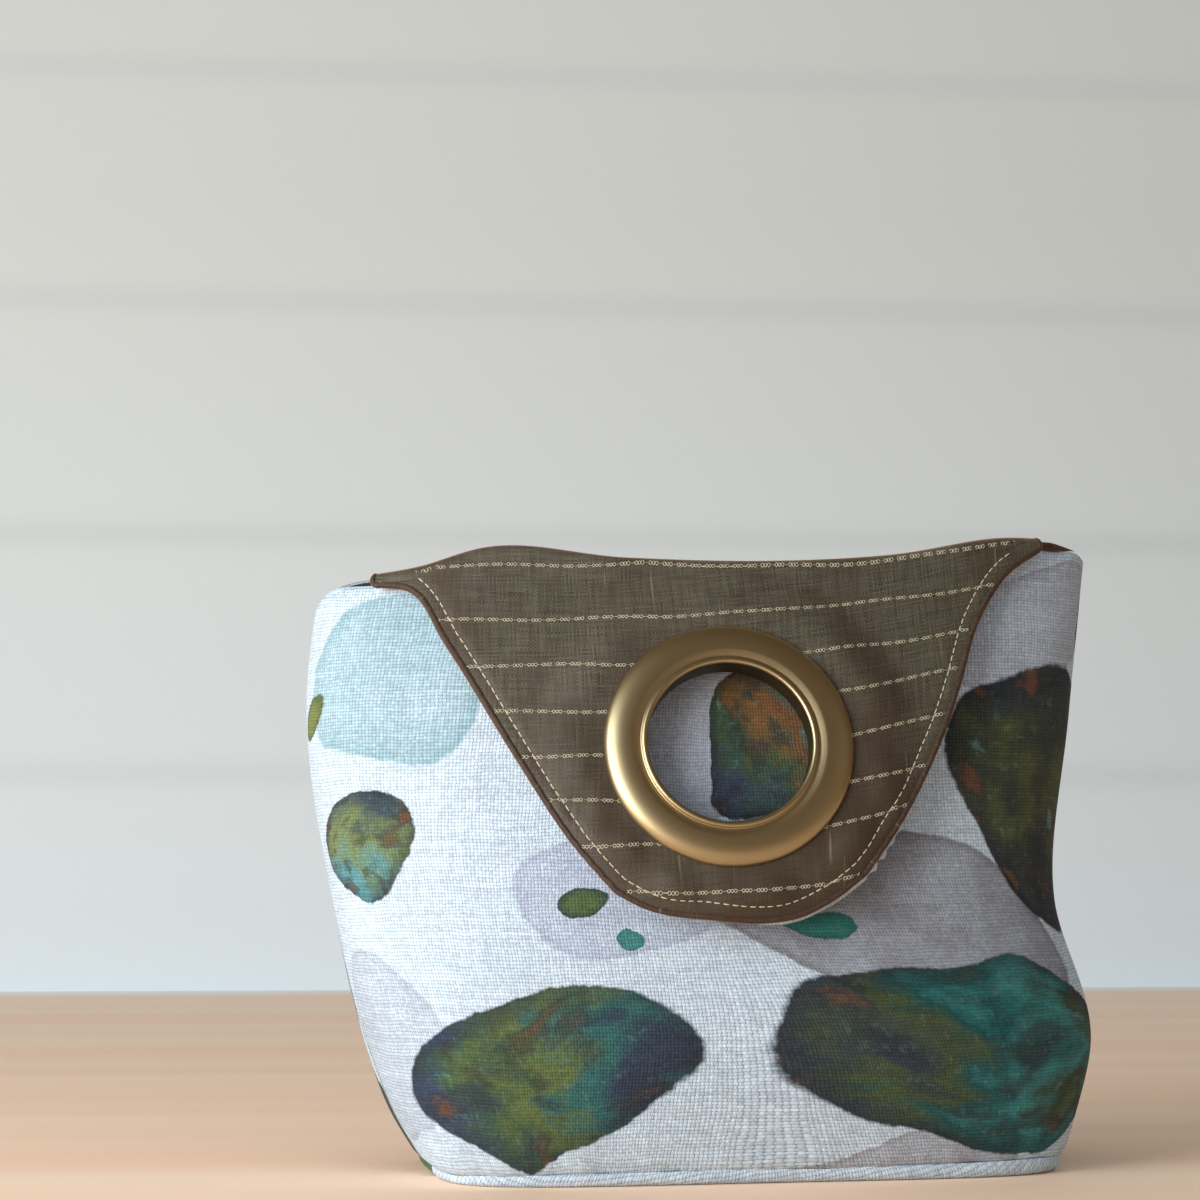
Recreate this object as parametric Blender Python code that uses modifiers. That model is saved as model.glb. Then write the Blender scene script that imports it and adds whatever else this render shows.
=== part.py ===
# Fabric pouch with a fold-over flap and a large grommet ring.
# Metres, +Z up, the front of the pouch faces -Y, and the origin is the middle of the flat underside.
import bisect
import functools
import math

import bpy
import numpy as np
from mathutils import Matrix, Vector

# Cloth layers
canvas_thickness = 0.0009
lining_thickness = 0.0005
layer_gap = 0.0003
seam_gap = 0.0003
lining_seam_gap = 0.0010

# Body of the pouch
base_length = 0.148
base_depth = 0.076
wall_height = 0.1500
base_rim_left = 0.0024
base_rim_right = 0.0046
base_rim_back = 0.0026

# Shape of the wall: shares of the wall height, how far each side stands out past the base there,
# and how square the corners are (2 is an ellipse). The foot of the pouch is turned a little on the table.
station_share = (0.0, 0.09, 0.20, 0.43, 0.74, 1.0)
left_bulge = (-0.0004, 0.0080, 0.0146, 0.0232, 0.0300, 0.0262)
right_bulge = (0.0009, 0.0059, 0.0110, 0.0087, 0.0112, 0.0145)
front_bulge = (0.0, 0.0042, 0.0072, 0.0064, -0.0020, -0.0160)
back_bulge = (0.0, 0.0040, 0.0064, 0.0050, -0.0030, -0.0180)
corner_squareness = (5.0, 4.2, 3.6, 2.9, 2.35, 2.0)
foot_turn = math.radians(6.0)
foot_turn_height = 0.0900

# Top edge: share of the way from the left to the right side seam, and the drop from the wall height
front_edge_share = (0.0, 0.09, 0.18, 0.237, 0.316, 0.43, 0.53, 0.64, 0.76, 0.865, 0.94, 1.0)
front_edge_drop = (0.0130, 0.0100, 0.0084, 0.0062, 0.0016, 0.0044, 0.0050, 0.0030, -0.0022, -0.0022,
                   -0.0016, 0.0)
back_edge_share = (0.0, 0.10, 0.30, 0.55, 0.80, 1.0)
back_edge_drop = (0.0150, 0.0090, 0.0045, 0.0020, 0.0010, 0.0020)

# Flap: where its fold starts and ends along the front, and its outline seen from the front
flap_fold_left = 0.18
flap_fold_right = 0.887
flap_fold_radius = 0.0021
flap_left_edge = ((-0.0804, 0.1388), (-0.0713, 0.1249), (-0.0552, 0.0974), (-0.0420, 0.0772))
flap_left_corner = (-0.0334, 0.0673)
flap_round_end = ((-0.0271, 0.0641), (-0.0102, 0.0614), (-0.0010, 0.0608), (0.0078, 0.0620),
                  (0.0156, 0.0657))
flap_right_corner = (0.0236, 0.0715)
flap_right_edge = ((0.0327, 0.0839), (0.0440, 0.1041), (0.0493, 0.1162), (0.0593, 0.1341))

# Grommet ring, a front ring with a barrel and a back ring pressed over it
ring_outer_radius = 0.0290
ring_opening_radius = 0.0190
ring_barrel_wall = 0.0008
ring_front_height = 0.0032
ring_back_height = 0.0019
ring_centre_x = -0.0070
ring_centre_z = 0.1005
ring_lean = math.radians(15.0)
ring_to_wall = 0.0040
ring_fit = 0.0003
ring_flat_reach = 0.0050
ring_blend_reach = 0.0120
ring_edge_radius = 0.0004
ring_lip_radius = 0.0008
ring_groove_reach = 0.0011
ring_groove_depth = 0.0003
ring_crown_share = 0.45
ring_back_bevel = 0.0005
ring_back_slope = 0.0030
ring_back_foot = 0.0010

# Mesh fineness
side_columns = 5
flap_columns = 20
wall_rows = 9
fold_steps = 5
flap_rows = 12
back_columns = 21
base_rings = 4
ring_steps = 48
ring_lip_steps = 4
ring_dome_steps = 7
weld_reach = 0.00005

canvas_colour = (0.80, 0.83, 0.85, 1.0)
lining_colour = (0.125, 0.105, 0.075, 1.0)
metal_colour = (0.42, 0.31, 0.16, 1.0)


@functools.lru_cache(maxsize=None)
def slopes(shares, values):
    return tuple(float(s) for s in np.gradient(np.array(values), np.array(shares)))


def curve_through(x, y, at):
    """Smooth curve through a few points, flat beyond its ends."""
    slope = slopes(x, y)
    at = min(max(at, x[0]), x[-1])
    i = min(bisect.bisect_right(x, at) - 1, len(x) - 2)
    step = x[i + 1] - x[i]
    t = (at - x[i]) / step
    h00 = (1 + 2 * t) * (1 - t) ** 2
    h10 = t * (1 - t) ** 2
    h01 = t * t * (3 - 2 * t)
    h11 = t * t * (t - 1)
    return h00 * y[i] + h10 * step * slope[i] + h01 * y[i + 1] + h11 * step * slope[i + 1]


def signed_power(value, power):
    return math.copysign(abs(value) ** power, value)


def ease(value):
    value = min(max(value, 0.0), 1.0)
    return value * value * (3 - 2 * value)


def wall_point(angle, height, aside=0.0):
    """Point of the pouch's wall, between its canvas and its lining. Angle 0 is the right side seam.

    aside moves it towards the back, for the gap that a side seam leaves."""
    share = height / wall_height
    left = base_length / 2 + curve_through(station_share, left_bulge, share)
    right = base_length / 2 + curve_through(station_share, right_bulge, share)
    front = base_depth / 2 + curve_through(station_share, front_bulge, share)
    back = base_depth / 2 + curve_through(station_share, back_bulge, share)
    power = 2.0 / curve_through(station_share, corner_squareness, share)
    middle = (right - left) / 2
    across = (right + left) / 2 * signed_power(math.cos(angle), power)
    depth = (front if math.sin(angle) < 0 else back) * signed_power(math.sin(angle), power) + aside
    turn = foot_turn * (1 - ease(height / foot_turn_height))
    x = (middle + across) * math.cos(turn) - depth * math.sin(turn)
    y = (middle + across) * math.sin(turn) + depth * math.cos(turn)
    return Vector((x, y, height))


def front_angle(share):
    return math.pi * (1 + share)


def back_angle(share):
    return math.pi * (1 - share)


def rim_height(angle):
    """Height of the seam between the base and the walls."""
    side = (1 + math.cos(angle)) / 2
    front = base_rim_left + (base_rim_right - base_rim_left) * side
    weight = (1 - math.sin(angle)) / 2
    return front * weight + base_rim_back * (1 - weight)


def front_top(share):
    return wall_height - curve_through(front_edge_share, front_edge_drop, share)


def back_top(share):
    return wall_height - curve_through(back_edge_share, back_edge_drop, share)


def wall_depth(x, z):
    """Depth of the front wall behind a point of the front view."""
    low, high = 0.02, 0.98
    for _ in range(24):
        middle = (low + high) / 2
        if wall_point(front_angle(middle), z).x < x:
            low = middle
        else:
            high = middle
    return wall_point(front_angle(middle), z).y


flap_lift = ring_to_wall + ring_back_height + 2 * ring_fit + 2 * canvas_thickness + layer_gap


def ring_plane_depth(z):
    """Depth of the flat part of the flap, which the two rings clamp."""
    middle = wall_depth(ring_centre_x, ring_centre_z) - flap_lift
    return middle + math.tan(ring_lean) * (z - ring_centre_z)


def flap_point(x, z, fold_height):
    """The flap hangs clear of the wall, further away the lower it is, and is flat round the ring."""
    start = 2 * flap_fold_radius
    below = max(fold_height - z, 0.0)
    drop = ease(below / (wall_height - ring_centre_z))
    lift = start + (flap_lift - start) * drop
    draped = wall_depth(x, min(z, wall_height)) - lift
    reach = math.hypot(x - ring_centre_x, (z - ring_centre_z) / math.cos(ring_lean))
    flat = 1 - ease((reach - ring_outer_radius - ring_flat_reach) / ring_blend_reach)
    return Vector((x, draped + (ring_plane_depth(z) - draped) * flat, z))


def along(points, share):
    """Point of a polyline's smooth curve at a share of its length."""
    lengths = [0.0]
    for a, b in zip(points, points[1:]):
        lengths.append(lengths[-1] + math.dist(a, b))
    at = share * lengths[-1]
    return np.array([curve_through(tuple(lengths), tuple(values), at) for values in zip(*points)])


def mesh_object(name, points, faces):
    mesh = bpy.data.meshes.new(name)
    mesh.from_pydata([tuple(p) for p in points], [], faces)
    mesh.validate()
    made = bpy.data.objects.new(name, mesh)
    parts.objects.link(made)
    mesh.shade_smooth()
    return made


def add_layer(made, depth, thickness):
    """Thickens a surface into a cloth layer that starts at a depth in from it (negative is outside)."""
    layer = made.modifiers.new("cloth", "SOLIDIFY")
    layer.thickness = thickness
    layer.offset = -(1 + 2 * depth / thickness)
    return layer


def shift_outward(thickness):
    """Depth at which a layer outside the middle surface starts."""
    return -layer_gap / 2 - thickness


def front_surface(side_gap):
    """Front panel with its flap: the wall, the fold and the flap in one sheet."""
    points = []
    rows = {}

    def put(point):
        points.append(Vector(point))
        return len(points) - 1

    shares = [flap_fold_left * k / side_columns for k in range(side_columns)]
    fold_span = flap_fold_right - flap_fold_left
    shares += [flap_fold_left + fold_span * k / flap_columns for k in range(flap_columns + 1)]
    right_span = 1 - flap_fold_right
    shares += [flap_fold_right + right_span * k / side_columns for k in range(1, side_columns + 1)]
    last = len(shares) - 1
    first_flap = side_columns
    last_flap = side_columns + flap_columns

    def wall_at(column, height):
        aside = -side_gap / 2 if column in (0, last) else 0.0
        return wall_point(front_angle(shares[column]), height, aside)

    for column, share in enumerate(shares):
        foot = rim_height(front_angle(share)) + seam_gap / 2
        top = front_top(share) - flap_fold_radius
        for row in range(wall_rows + 1):
            height = foot + (top - foot) * (row / wall_rows)
            rows[column, row] = put(wall_at(column, height))

    def cell(column, row):
        near, far = rows[column, row], rows[column + 1, row]
        return near, far, rows[column + 1, row + 1], rows[column, row + 1]

    faces = []
    for column in range(last):
        for row in range(wall_rows):
            faces.append(cell(column, row))

    top_row = wall_rows
    for column in range(first_flap, last_flap + 1):
        start = points[rows[column, top_row]]
        ahead = wall_point(front_angle(shares[column] + 0.01), start.z)
        behind = wall_point(front_angle(shares[column] - 0.01), start.z)
        outward = (ahead - behind).cross(Vector((0, 0, 1))).normalized()
        for step in range(1, fold_steps + 1):
            turn = math.pi * step / fold_steps
            across = flap_fold_radius * (1 - math.cos(turn))
            up = Vector((0, 0, flap_fold_radius * math.sin(turn)))
            rows[column, top_row + step] = put(start + outward * across + up)
    fold_row = top_row + fold_steps

    fold_line = [points[rows[column, fold_row]] for column in range(first_flap, last_flap + 1)]
    left_side = [(fold_line[0].x, fold_line[0].z)] + list(flap_left_edge) + [flap_left_corner]
    right_side = [(fold_line[-1].x, fold_line[-1].z)]
    right_side += list(reversed(flap_right_edge)) + [flap_right_corner]
    round_end = [flap_left_corner] + list(flap_round_end) + [flap_right_corner]
    corners = [np.array(corner) for corner in (left_side[0], right_side[0], left_side[-1], right_side[-1])]
    for row in range(1, flap_rows + 1):
        down = row / flap_rows
        left = along(left_side, down)
        right = along(right_side, down)
        for column in range(first_flap, last_flap + 1):
            over = (column - first_flap) / flap_columns
            fold = fold_line[column - first_flap]
            top = np.array((fold.x, fold.z))
            bottom = along(round_end, over)
            sides = left * (1 - over) + right * over
            ends = top * (1 - down) + bottom * down
            twist = (corners[0] * (1 - over) + corners[1] * over) * (1 - down)
            twist = twist + (corners[2] * (1 - over) + corners[3] * over) * down
            x, z = sides + ends - twist
            point = flap_point(x, z, fold.z)
            rows[column, fold_row + row] = put(point)

    for column in range(first_flap, last_flap):
        for row in range(top_row, fold_row + flap_rows):
            faces.append(cell(column, row))
    return points, faces


def back_surface(side_gap):
    points = []
    faces = []
    for column in range(back_columns + 1):
        share = column / back_columns
        angle = back_angle(share)
        foot = rim_height(angle) + seam_gap / 2
        top = back_top(share)
        for row in range(wall_rows + 1):
            height = foot + (top - foot) * (row / wall_rows)
            aside = side_gap / 2 if column in (0, back_columns) else 0.0
            points.append(wall_point(angle, height, aside))
    stride = wall_rows + 1
    for column in range(back_columns):
        for row in range(wall_rows):
            a = column * stride + row
            faces.append((a, a + 1, a + stride + 1, a + stride))
    return points, faces


def base_surface():
    """Shallow dish: flat in the middle, with its rim turned up in a quarter round to the seam."""
    points = []
    faces = []
    around = 2 * (side_columns * 2 + flap_columns)
    floor_height = canvas_thickness + layer_gap / 2
    for ring in range(base_rings + 1):
        turn = math.pi / 2 * ring / base_rings
        for k in range(around):
            angle = 2 * math.pi * k / around
            rim = rim_height(angle) - seam_gap / 2
            edge = wall_point(angle, rim)
            radius = rim - floor_height
            inward = radius * (1 - math.sin(turn)) / math.hypot(edge.x, edge.y)
            height = floor_height + radius * (1 - math.cos(turn))
            points.append(Vector((edge.x * (1 - inward), edge.y * (1 - inward), height)))
    faces.append(tuple(reversed(range(around))))
    for ring in range(base_rings):
        for k in range(around):
            a = ring * around + k
            b = ring * around + (k + 1) % around
            faces.append((a, b, b + around, a + around))
    return points, faces


def turned(name, profile):
    """Closed profile of (radius, height) turned about Z."""
    mesh = bpy.data.meshes.new(name)
    count = len(profile)
    mesh.from_pydata([(r, 0.0, h) for r, h in profile], [(k, (k + 1) % count) for k in range(count)], [])
    made = bpy.data.objects.new(name, mesh)
    parts.objects.link(made)
    screw = made.modifiers.new("turn", "SCREW")
    screw.steps = ring_steps
    screw.render_steps = ring_steps
    screw.use_merge_vertices = True
    screw.merge_threshold = weld_reach
    screw.use_smooth_shade = True
    return made


def arc(centre, radius_across, radius_up, start, end, count):
    made = []
    for k in range(count + 1):
        angle = math.radians(start + (end - start) * k / count)
        made.append((centre[0] + radius_across * math.cos(angle), centre[1] + radius_up * math.sin(angle)))
    return made


def ring_place():
    """The rings' axis is square to the flat part of the flap and passes through its middle."""
    middle = Vector((ring_centre_x, ring_plane_depth(ring_centre_z), ring_centre_z))
    return Matrix.Translation(middle) @ Matrix.Rotation(math.pi / 2 - ring_lean, 4, "X")


def give_material(made, name, colour, roughness, metallic):
    material = bpy.data.materials.get(name) or bpy.data.materials.new(name)
    material.use_nodes = True
    shader = material.node_tree.nodes["Principled BSDF"]
    shader.inputs["Base Color"].default_value = colour
    shader.inputs["Roughness"].default_value = roughness
    shader.inputs["Metallic"].default_value = metallic
    material.diffuse_color = colour
    made.data.materials.append(material)


for old in list(bpy.data.objects):
    bpy.data.objects.remove(old, do_unlink=True)

parts = bpy.data.collections.new("flap_pouch")
bpy.context.scene.collection.children.link(parts)
cutters = bpy.data.collections.new("cutters")
bpy.context.scene.collection.children.link(cutters)

# Cloth panels: the canvas lies outside the middle surface and the lining inside it
front_canvas = mesh_object("outer_front_panel", *front_surface(seam_gap))
add_layer(front_canvas, shift_outward(canvas_thickness), canvas_thickness)
front_lining = mesh_object("lining_front_panel", *front_surface(lining_seam_gap))
add_layer(front_lining, layer_gap / 2, lining_thickness)
back_canvas = mesh_object("outer_back_panel", *back_surface(seam_gap))
add_layer(back_canvas, shift_outward(canvas_thickness), canvas_thickness)
back_lining = mesh_object("lining_back_panel", *back_surface(lining_seam_gap))
add_layer(back_lining, layer_gap / 2, lining_thickness)
base_canvas = mesh_object("outer_base_panel", *base_surface())
add_layer(base_canvas, shift_outward(canvas_thickness), canvas_thickness)
base_lining = mesh_object("lining_base_panel", *base_surface())
add_layer(base_lining, layer_gap / 2, lining_thickness)

# Grommet: heights are measured out of the flap's middle surface, towards the front
flap_front = layer_gap / 2 + lining_thickness + ring_fit
flap_back = -(layer_gap / 2 + canvas_thickness + ring_fit)
barrel_radius = ring_opening_radius + ring_barrel_wall
barrel_end = flap_back - ring_back_height
ring_top = flap_front + ring_front_height
crown_radius = ring_opening_radius + ring_crown_share * (ring_outer_radius - ring_opening_radius)
lip_centre = (ring_opening_radius + ring_lip_radius, ring_top - ring_lip_radius)
groove = (lip_centre[0] + ring_groove_reach, lip_centre[1] - ring_groove_depth)
front_profile = [(ring_outer_radius, flap_front + ring_edge_radius)]
front_profile += [(ring_outer_radius - ring_edge_radius, flap_front)]
front_profile += [(barrel_radius, flap_front), (barrel_radius, barrel_end)]
front_profile += [(ring_opening_radius, barrel_end)]
front_profile += arc(lip_centre, ring_lip_radius, ring_lip_radius, 180, 20, ring_lip_steps)
front_profile += [groove]
dome_height = ring_front_height - ring_lip_radius / 2
dome_reach = ring_outer_radius - crown_radius
front_profile += arc((crown_radius, flap_front), dome_reach, dome_height, 100, 8, ring_dome_steps)
grommet_front = turned("grommet_front_ring", front_profile)
grommet_front.matrix_world = ring_place()

back_inner = barrel_radius + ring_fit
back_profile = [(ring_outer_radius - ring_back_bevel, flap_back)]
back_profile += [(ring_outer_radius, flap_back - ring_back_bevel)]
back_profile += [(ring_outer_radius - ring_back_slope, barrel_end + ring_back_bevel / 2)]
back_profile += [(back_inner + ring_back_foot, barrel_end), (back_inner, barrel_end + ring_back_bevel)]
back_profile += [(back_inner, flap_back)]
grommet_back = turned("grommet_back_ring", back_profile)
grommet_back.matrix_world = ring_place()

# The hole in the flap's two layers, for the barrel
for panel in (front_canvas, front_lining):
    hole_radius = barrel_radius + ring_fit
    bpy.ops.mesh.primitive_cylinder_add(vertices=ring_steps, radius=hole_radius, depth=2 * ring_to_wall)
    cutter = bpy.context.active_object
    cutter.name = panel.name + "_hole"
    cutter.matrix_world = ring_place()
    for other in list(cutter.users_collection):
        other.objects.unlink(cutter)
    cutters.objects.link(cutter)
    cutter.hide_render = True
    cutter.display_type = "WIRE"
    cut = panel.modifiers.new("ring hole", "BOOLEAN")
    cut.operation = "DIFFERENCE"
    cut.solver = "EXACT"
    cut.object = cutter

for panel in (front_canvas, back_canvas, base_canvas):
    give_material(panel, panel.name + "_cloth", canvas_colour, 0.85, 0.0)
for panel in (front_lining, back_lining, base_lining):
    give_material(panel, panel.name + "_cloth", lining_colour, 0.5, 0.0)
for metal in (grommet_front, grommet_back):
    give_material(metal, metal.name + "_metal", metal_colour, 0.32, 1.0)
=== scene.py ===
import math

import bpy
import numpy as np
from mathutils import Matrix, Vector


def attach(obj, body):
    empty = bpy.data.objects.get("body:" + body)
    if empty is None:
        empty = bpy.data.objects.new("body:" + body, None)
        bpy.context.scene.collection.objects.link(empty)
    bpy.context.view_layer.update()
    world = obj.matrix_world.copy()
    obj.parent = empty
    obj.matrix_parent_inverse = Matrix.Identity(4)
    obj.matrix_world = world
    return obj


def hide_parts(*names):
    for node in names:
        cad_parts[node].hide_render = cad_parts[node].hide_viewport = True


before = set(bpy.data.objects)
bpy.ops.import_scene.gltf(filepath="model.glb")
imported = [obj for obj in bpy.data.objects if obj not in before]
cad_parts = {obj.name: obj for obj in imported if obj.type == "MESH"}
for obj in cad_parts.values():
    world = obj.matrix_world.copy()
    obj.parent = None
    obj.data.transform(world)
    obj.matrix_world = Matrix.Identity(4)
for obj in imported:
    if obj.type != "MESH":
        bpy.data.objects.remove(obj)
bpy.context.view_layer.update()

mm = 0.001


# general helpers

def hexColour(text):   # sRGB hex to linear
    parts = [int(text[i:i + 2], 16) / 255 for i in (1, 3, 5)]
    linear = [c / 12.92 if c <= 0.04045 else ((c + 0.055) / 1.055) ** 2.4 for c in parts]
    return (*linear, 1.0)


def addNode(tree, kind, *inputs, output=0, **settings):   # inputs in order, or a dictionary of them
    node = tree.nodes.new("ShaderNode" + kind)
    for name, value in settings.items():
        setattr(node, name, value)
    if inputs and isinstance(inputs[0], dict):
        inputs = inputs[0]
    else:
        inputs = dict(enumerate(inputs))
    for key, value in inputs.items():
        if isinstance(value, bpy.types.NodeSocket):
            tree.links.new(value, node.inputs[key])
        else:
            node.inputs[key].default_value = value
    return node.outputs if output is None else node.outputs[output]


asColour = {"data_type": "RGBA", "output": 2}   # a Mix node of colours, its inputs 6 and 7


def newMaterial(name, **values):   # values: Principled inputs by name, with _ for a space
    material = bpy.data.materials.new(name)
    material.use_nodes = True
    shader = material.node_tree.nodes["Principled BSDF"]
    for key, value in values.items():
        shader.inputs[key.replace("_", " ")].default_value = value
    return material, material.node_tree, shader


def meshPiece(name, points, faces, uv=None, material=None):
    mesh = bpy.data.meshes.new(name)
    mesh.from_pydata([tuple(p) for p in points], [], [tuple(f) for f in faces])
    if uv is not None:
        layer = mesh.uv_layers.new(name="cloth")
        corner = np.empty(len(mesh.loops), dtype=np.int64)
        mesh.loops.foreach_get("vertex_index", corner)
        layer.uv.foreach_set("vector", np.asarray(uv, dtype=np.float32)[corner].ravel())
    mesh.shade_smooth()
    made = bpy.data.objects.new(name, mesh)
    bpy.context.scene.collection.objects.link(made)
    if material:
        mesh.materials.append(material)
    return made


def applyModifiers(piece):
    graph = bpy.context.evaluated_depsgraph_get()
    mesh = bpy.data.meshes.new_from_object(piece.evaluated_get(graph))
    piece.modifiers.clear()
    old = piece.data
    piece.data = mesh
    bpy.data.meshes.remove(old)


def unit(vectors):
    return vectors / np.maximum(np.linalg.norm(vectors, axis=-1, keepdims=True), 1e-12)


def strand(path, side, lift, wide, thick, steps, first=0):   # closed tube with an oval section along a path
    count = len(path)
    turns = np.linspace(0, 2 * math.pi, steps, endpoint=False)
    wide, thick = np.broadcast_to(wide, count), np.broadcast_to(thick, count)
    loops = path[:, None] + side[:, None] * np.outer(wide, np.cos(turns))[..., None]
    loops = loops + lift[:, None] * np.outer(thick, np.sin(turns))[..., None]
    faces = []
    for k in range(count - 1):
        for j in range(steps):
            a, b = first + k * steps + j, first + k * steps + (j + 1) % steps
            faces.append((a, b, b + steps, a + steps))
    faces.append(tuple(first + j for j in reversed(range(steps))))
    faces.append(tuple(first + (count - 1) * steps + j for j in range(steps)))
    run = np.concatenate(([0.0], np.cumsum(np.linalg.norm(np.diff(path, axis=0), axis=1))))
    around = turns * (wide.max() + thick.max()) / 2
    uv = np.stack(np.broadcast_arrays(run[:, None], around[None]), axis=-1)
    return loops.reshape(-1, 3), faces, uv.reshape(-1, 2)


# shape of the pouch, as the frame has it, with finer folds

pouch = {
    "canvas": 0.9 * mm,
    "lining": 0.5 * mm,
    "layerGap": 0.3 * mm,
    "baseLength": 148 * mm,
    "baseDepth": 76 * mm,
    "baseTurn": 4 * mm,   # cloth of the base turned up to its seam
    "height": 150 * mm,
    "rimLeft": 2.4 * mm,
    "rimRight": 4.6 * mm,
    "rimBack": 2.6 * mm,
    "stations": (0.0, 0.09, 0.20, 0.43, 0.74, 1.0),
    "leftBulge": (-0.0004, 0.0080, 0.0146, 0.0232, 0.0300, 0.0262),
    "rightBulge": (0.0009, 0.0059, 0.0106, 0.0042, 0.0092, 0.0145),
    "frontBulge": (0.0, 0.0042, 0.0072, 0.0064, -0.0020, -0.0160),
    "backBulge": (0.0, 0.0040, 0.0064, 0.0050, -0.0030, -0.0180),
    "squareness": (5.0, 4.2, 3.6, 2.9, 2.35, 2.0),
    "footTurn": math.radians(6),
    "footTurnHeight": 90 * mm,
    "frontEdge": ((0.0, 0.0130), (0.09, 0.0091), (0.18, 0.0079), (0.237, 0.0062), (0.304, 0.0016),
                  (0.43, 0.0044), (0.53, 0.0050), (0.64, 0.0030), (0.76, -0.0022), (0.865, -0.0022),
                  (0.94, -0.0016), (1.0, 0.0)),
    "backEdge": ((0.0, 0.0150), (0.10, 0.0090), (0.30, 0.0045), (0.55, 0.0020), (0.80, 0.0010),
                 (1.0, 0.0020)),
    "seamClearance": 0.15 * mm,
}
flap = {
    "length": 86 * mm,   # of the cloth, from the fold to the round end
    "foldLeft": 0.18,
    "foldRight": 0.815,
    "foldRadius": 2.1 * mm,
    "leftEdge": ((-0.0804, 0.1388), (-0.0713, 0.1249), (-0.0552, 0.0974), (-0.0420, 0.0772)),
    "leftCorner": (-0.0334, 0.0673),
    "roundEnd": ((-0.0271, 0.0641), (-0.0102, 0.0614), (-0.0010, 0.0608), (0.0078, 0.0620),
                 (0.0156, 0.0657)),
    "rightCorner": (0.0236, 0.0715),
    "rightEdge": ((0.0327, 0.0839), (0.0440, 0.1041), (0.0493, 0.1162), (0.0548, 0.1300),
                  (0.0590, 0.1370), (0.0650, 0.1442)),
}
ring = {
    "outer": 29.0 * mm,
    "opening": 19.0 * mm,
    "barrelWall": 0.8 * mm,
    "frontHeight": 3.2 * mm,
    "backHeight": 1.9 * mm,
    "x": -7.0 * mm,
    "z": 100.5 * mm,
    "lean": math.radians(15),
    "toWall": 4.0 * mm,
    "fit": 0.3 * mm,
    "flatReach": 5.0 * mm,
    "blendReach": 12.0 * mm,
}


def curveThrough(x, y, at):   # smooth curve through a few points
    x, y = np.asarray(x, float), np.asarray(y, float)
    slope = np.gradient(y, x)
    at = np.clip(at, x[0], x[-1])
    i = np.clip(np.searchsorted(x, at, side="right") - 1, 0, len(x) - 2)
    step = x[i + 1] - x[i]
    t = (at - x[i]) / step
    ends = (1 + 2 * t) * (1 - t) ** 2 * y[i] + t * t * (3 - 2 * t) * y[i + 1]
    return ends + step * (t * (1 - t) ** 2 * slope[i] + t * t * (t - 1) * slope[i + 1])


def ease(value):
    value = np.clip(value, 0, 1)
    return value * value * (3 - 2 * value)


def hump(x, z, atX, atZ, wide, tall):   # 1 in the middle and fading away from it, sizes in mm
    return np.exp(-((x / mm - atX) / wide) ** 2 - ((z / mm - atZ) / tall) ** 2)


def wallPoints(angle, height):   # angle 0 is the right side seam, and the front is from pi to 2 pi
    share = height / pouch["height"]
    bulges = (("baseLength", "leftBulge"), ("baseLength", "rightBulge"),
              ("baseDepth", "frontBulge"), ("baseDepth", "backBulge"))
    left, right, front, back = (pouch[whole] / 2 + curveThrough(pouch["stations"], pouch[bulge], share)
                                for whole, bulge in bulges)
    power = 2 / curveThrough(pouch["stations"], pouch["squareness"], share)
    cosine, sine = np.cos(angle), np.sin(angle)
    across = (right - left) / 2 + (right + left) / 2 * np.sign(cosine) * np.abs(cosine) ** power
    depth = np.where(sine < 0, front, back) * np.sign(sine) * np.abs(sine) ** power
    turn = pouch["footTurn"] * (1 - ease(height / pouch["footTurnHeight"]))
    x = across * np.cos(turn) - depth * np.sin(turn)
    y = across * np.sin(turn) + depth * np.cos(turn)
    return np.stack(np.broadcast_arrays(x, y, height), axis=-1)


def rimHeight(angle):   # seam between the base and the walls
    side = (1 + np.cos(angle)) / 2
    front = pouch["rimLeft"] + (pouch["rimRight"] - pouch["rimLeft"]) * side
    weight = (1 - np.sin(angle)) / 2
    return front * weight + pouch["rimBack"] * (1 - weight)


def frontAngle(share):
    return math.pi * (1 + share)


def backAngle(share):
    return math.pi * (1 - share)


def topHeight(edge, share):
    return pouch["height"] - curveThrough(*zip(*pouch[edge]), share)


def wallDepth(x, z):   # depth of the front wall behind points of the front view
    x, z = np.broadcast_arrays(np.asarray(x, float), np.asarray(z, float))
    low, high = np.full(x.shape, 0.02), np.full(x.shape, 0.98)
    for _ in range(24):
        middle = (low + high) / 2
        isLeft = wallPoints(frontAngle(middle), z)[..., 0] < x
        low, high = np.where(isLeft, middle, low), np.where(isLeft, high, middle)
    return wallPoints(frontAngle(low), z)[..., 1]


flapLift = ring["toWall"] + ring["backHeight"] + 2 * ring["fit"] + 2 * pouch["canvas"] + pouch["layerGap"]
ringDepth = float(wallDepth(ring["x"], ring["z"])) - flapLift


def along(points, share):
    flat = np.array(points, float)
    lengths = np.concatenate(([0.0], np.cumsum(np.linalg.norm(np.diff(flat, axis=0), axis=1))))
    at = np.asarray(share) * lengths[-1]
    return np.stack([curveThrough(lengths, flat[:, k], at) for k in range(flat.shape[1])], axis=-1)


def gridNormals(grid):
    return unit(np.cross(np.gradient(grid, axis=0), np.gradient(grid, axis=1)))


# the front panel: wall, fold and flap as grids of points between the canvas and the lining

front = {
    "sideColumns": 26,
    "flapColumns": 116,
    "wallRows": 84,
    "foldRows": 12,
    "flapRows": 84,
}


def panelShares():
    left = np.linspace(0, flap["foldLeft"], front["sideColumns"] + 1)[:-1]
    middle = np.linspace(flap["foldLeft"], flap["foldRight"], front["flapColumns"] + 1)
    right = np.linspace(flap["foldRight"], 1, front["sideColumns"] + 1)[1:]
    return np.concatenate((left, middle, right))


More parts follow.
